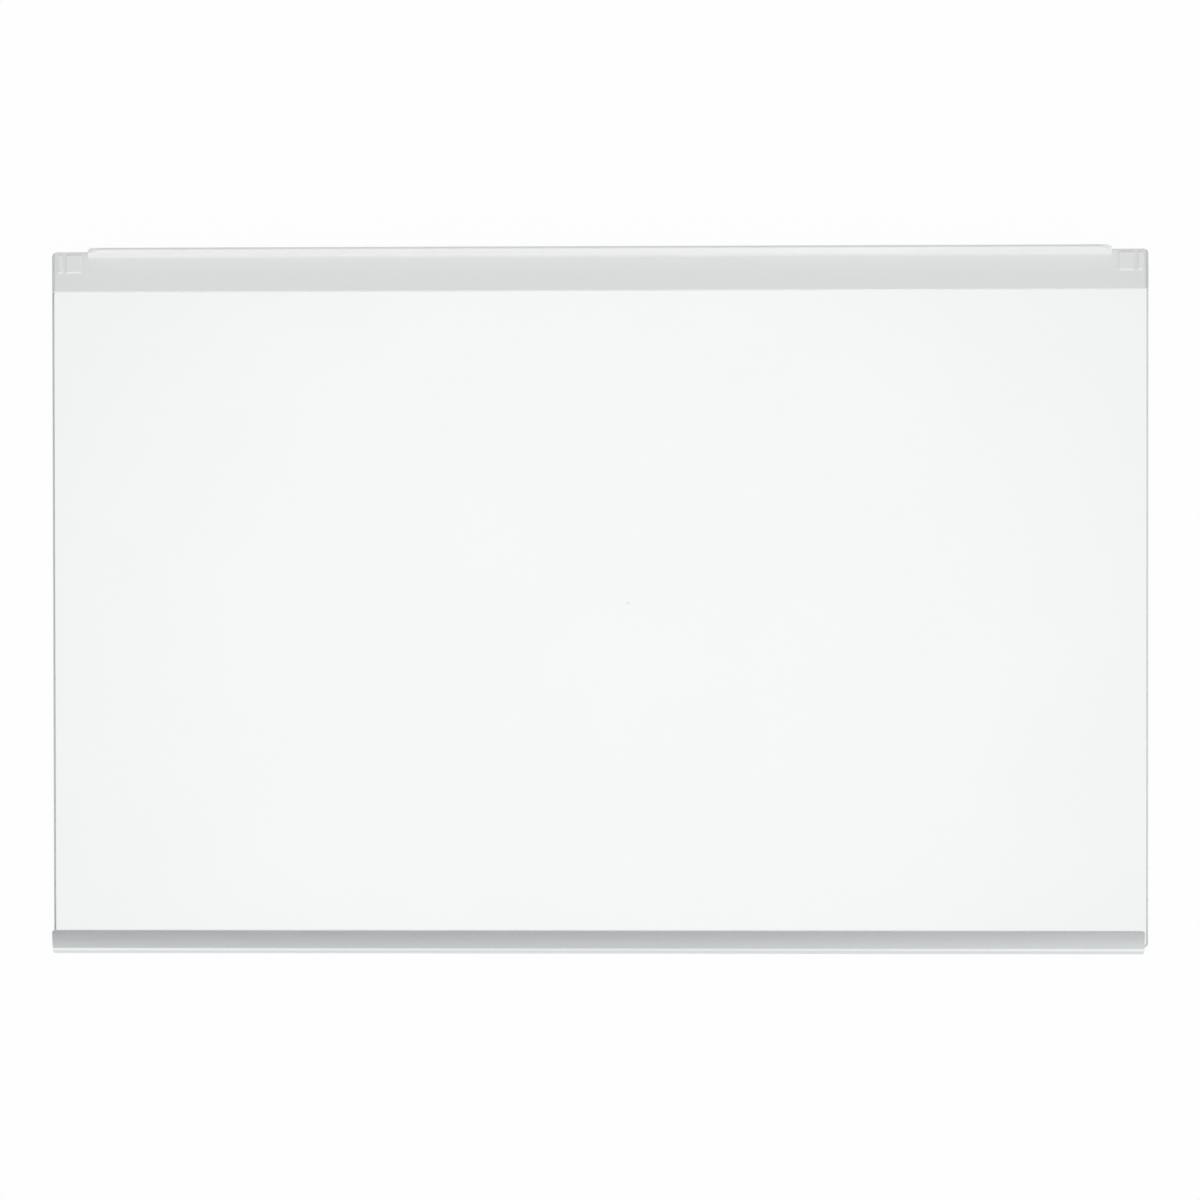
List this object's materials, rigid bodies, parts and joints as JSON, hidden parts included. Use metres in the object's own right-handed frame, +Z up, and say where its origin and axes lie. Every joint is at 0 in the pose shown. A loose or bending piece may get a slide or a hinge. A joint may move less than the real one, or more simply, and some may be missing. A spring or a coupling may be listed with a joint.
{
  "type": "fridge glass shelf",
  "caption": "Clear toughened glass fridge shelf with a satin silver-grey front trim and a frosted grey rear trim, moulded with a raised stop lip and two low pads at each rear corner.",
  "frame": {"origin": "under the middle of the shelf, on the surface that the undersides of the trims rest on", "axes": "+X along the shelf's width, +Y from the front trim to the stop lip at the rear, +Z up"},
  "size_m": [0.473, 0.3046, 0.0143],
  "materials": {
    "clear_glass": "clear toughened float glass with ground edges",
    "silver_trim": "satin silver-grey extruded plastic",
    "frosted_trim": "frosted translucent grey moulded plastic"
  },
  "bodies": {
    "root": {"glass_pane": "clear_glass", "front_trim": "silver_trim", "rear_trim": "frosted_trim"}
  },
  "joints": []
}
